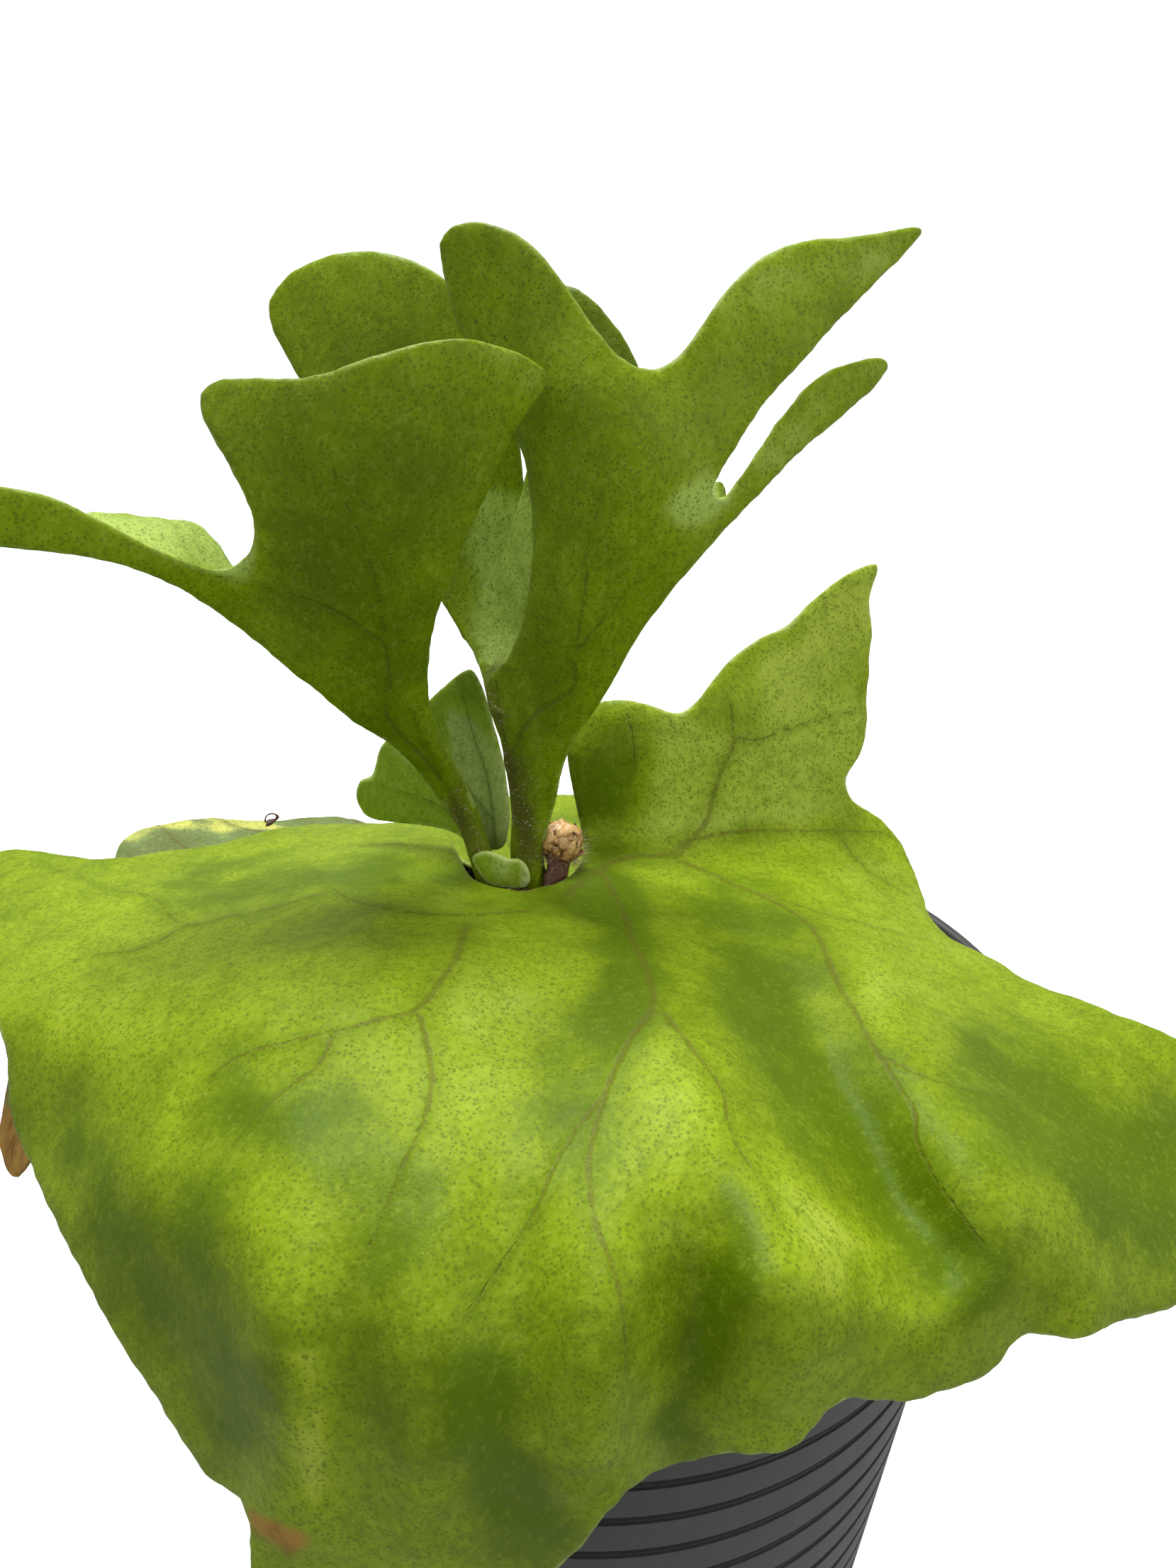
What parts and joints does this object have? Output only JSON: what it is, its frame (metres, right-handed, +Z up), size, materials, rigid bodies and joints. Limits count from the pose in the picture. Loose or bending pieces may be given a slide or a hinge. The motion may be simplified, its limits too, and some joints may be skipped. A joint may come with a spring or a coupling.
{
  "type": "potted staghorn fern",
  "caption": "Potted staghorn fern: broad folded shield fronds drape over the rim of a round ribbed nursery pot, with upright forked antler fronds above.",
  "frame": {"origin": "centre of the pot's flat underside, on the surface it stands on", "axes": "+Z up; +Y away from the side that the large shield frond hangs over; +X to the right seen from that side"},
  "size_m": [0.1645, 0.1359, 0.1765],
  "materials": {
    "pot_plastic": "satin moulded plastic",
    "growing_medium": "loose bark and moss",
    "rhizome_scale": "papery overlapping scales",
    "shield_leaf": "satin freckled leaf",
    "old_shield_leaf": "dull leaf with a dry margin",
    "young_shield_leaf": "thin soft leaf",
    "antler_leaf": "satin freckled leaf"
  },
  "bodies": {
    "root": {"pot": "pot_plastic", "growing_medium": "growing_medium", "rhizome_with_bud": "rhizome_scale", "shield_frond_front": "shield_leaf", "shield_frond_old": "old_shield_leaf", "shield_frond_back": "shield_leaf", "shield_frond_tall": "young_shield_leaf", "shield_frond_small": "young_shield_leaf", "antler_frond_left": "antler_leaf", "antler_frond_right": "antler_leaf"}
  },
  "joints": []
}
